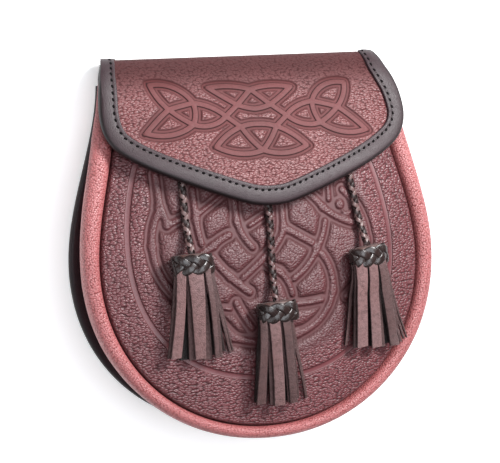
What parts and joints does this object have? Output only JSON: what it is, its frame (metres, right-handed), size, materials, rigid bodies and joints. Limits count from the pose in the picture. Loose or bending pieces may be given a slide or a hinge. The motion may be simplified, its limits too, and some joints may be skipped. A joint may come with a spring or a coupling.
{
  "type": "sporran pouch",
  "caption": "Leather belt pouch with a rounded body, rolled gusset, bound pointed front flap with knotwork embossing, and leather-strip tassels on braided cords.",
  "frame": {"origin": "middle of the outline on the floor the pouch lies on, back down", "axes": "+X across the pouch to its front's right, +Y from the rounded bottom to the fold of the flap, +Z from the back panel out of the front"},
  "size_m": [0.1964, 0.1983, 0.0621],
  "materials": {
    "back_panel": "smooth charcoal-brown, satin",
    "back_binding": "smooth charcoal-brown, satin",
    "gusset": "pebbled terracotta red, satin",
    "front_panel": "pebbled dark red-brown, embossed",
    "flap": "pebbled red-brown, embossed",
    "flap_binding": "smooth charcoal-brown, satin",
    "press_stud": "plain press stud",
    "belt_loop_left": "smooth charcoal-brown, satin",
    "belt_loop_right": "smooth charcoal-brown, satin",
    "cord_left": "glossy near-black lace",
    "knot_left": "glossy near-black lace",
    "tassel_left": "matte taupe-brown strips",
    "cord_centre": "glossy near-black lace",
    "knot_centre": "glossy near-black lace",
    "tassel_centre": "matte taupe-brown strips",
    "cord_right": "glossy near-black lace",
    "knot_right": "glossy near-black lace",
    "tassel_right": "matte taupe-brown strips"
  },
  "bodies": {
    "root": {"back_panel": "back_panel", "back_binding": "back_binding", "gusset": "gusset", "front_panel": "front_panel", "flap": "flap", "flap_binding": "flap_binding", "press_stud": "press_stud", "belt_loop_left": "belt_loop_left", "belt_loop_right": "belt_loop_right", "cord_left": "cord_left", "knot_left": "knot_left", "tassel_left": "tassel_left", "cord_centre": "cord_centre", "knot_centre": "knot_centre", "tassel_centre": "tassel_centre", "cord_right": "cord_right", "knot_right": "knot_right", "tassel_right": "tassel_right"}
  },
  "joints": []
}
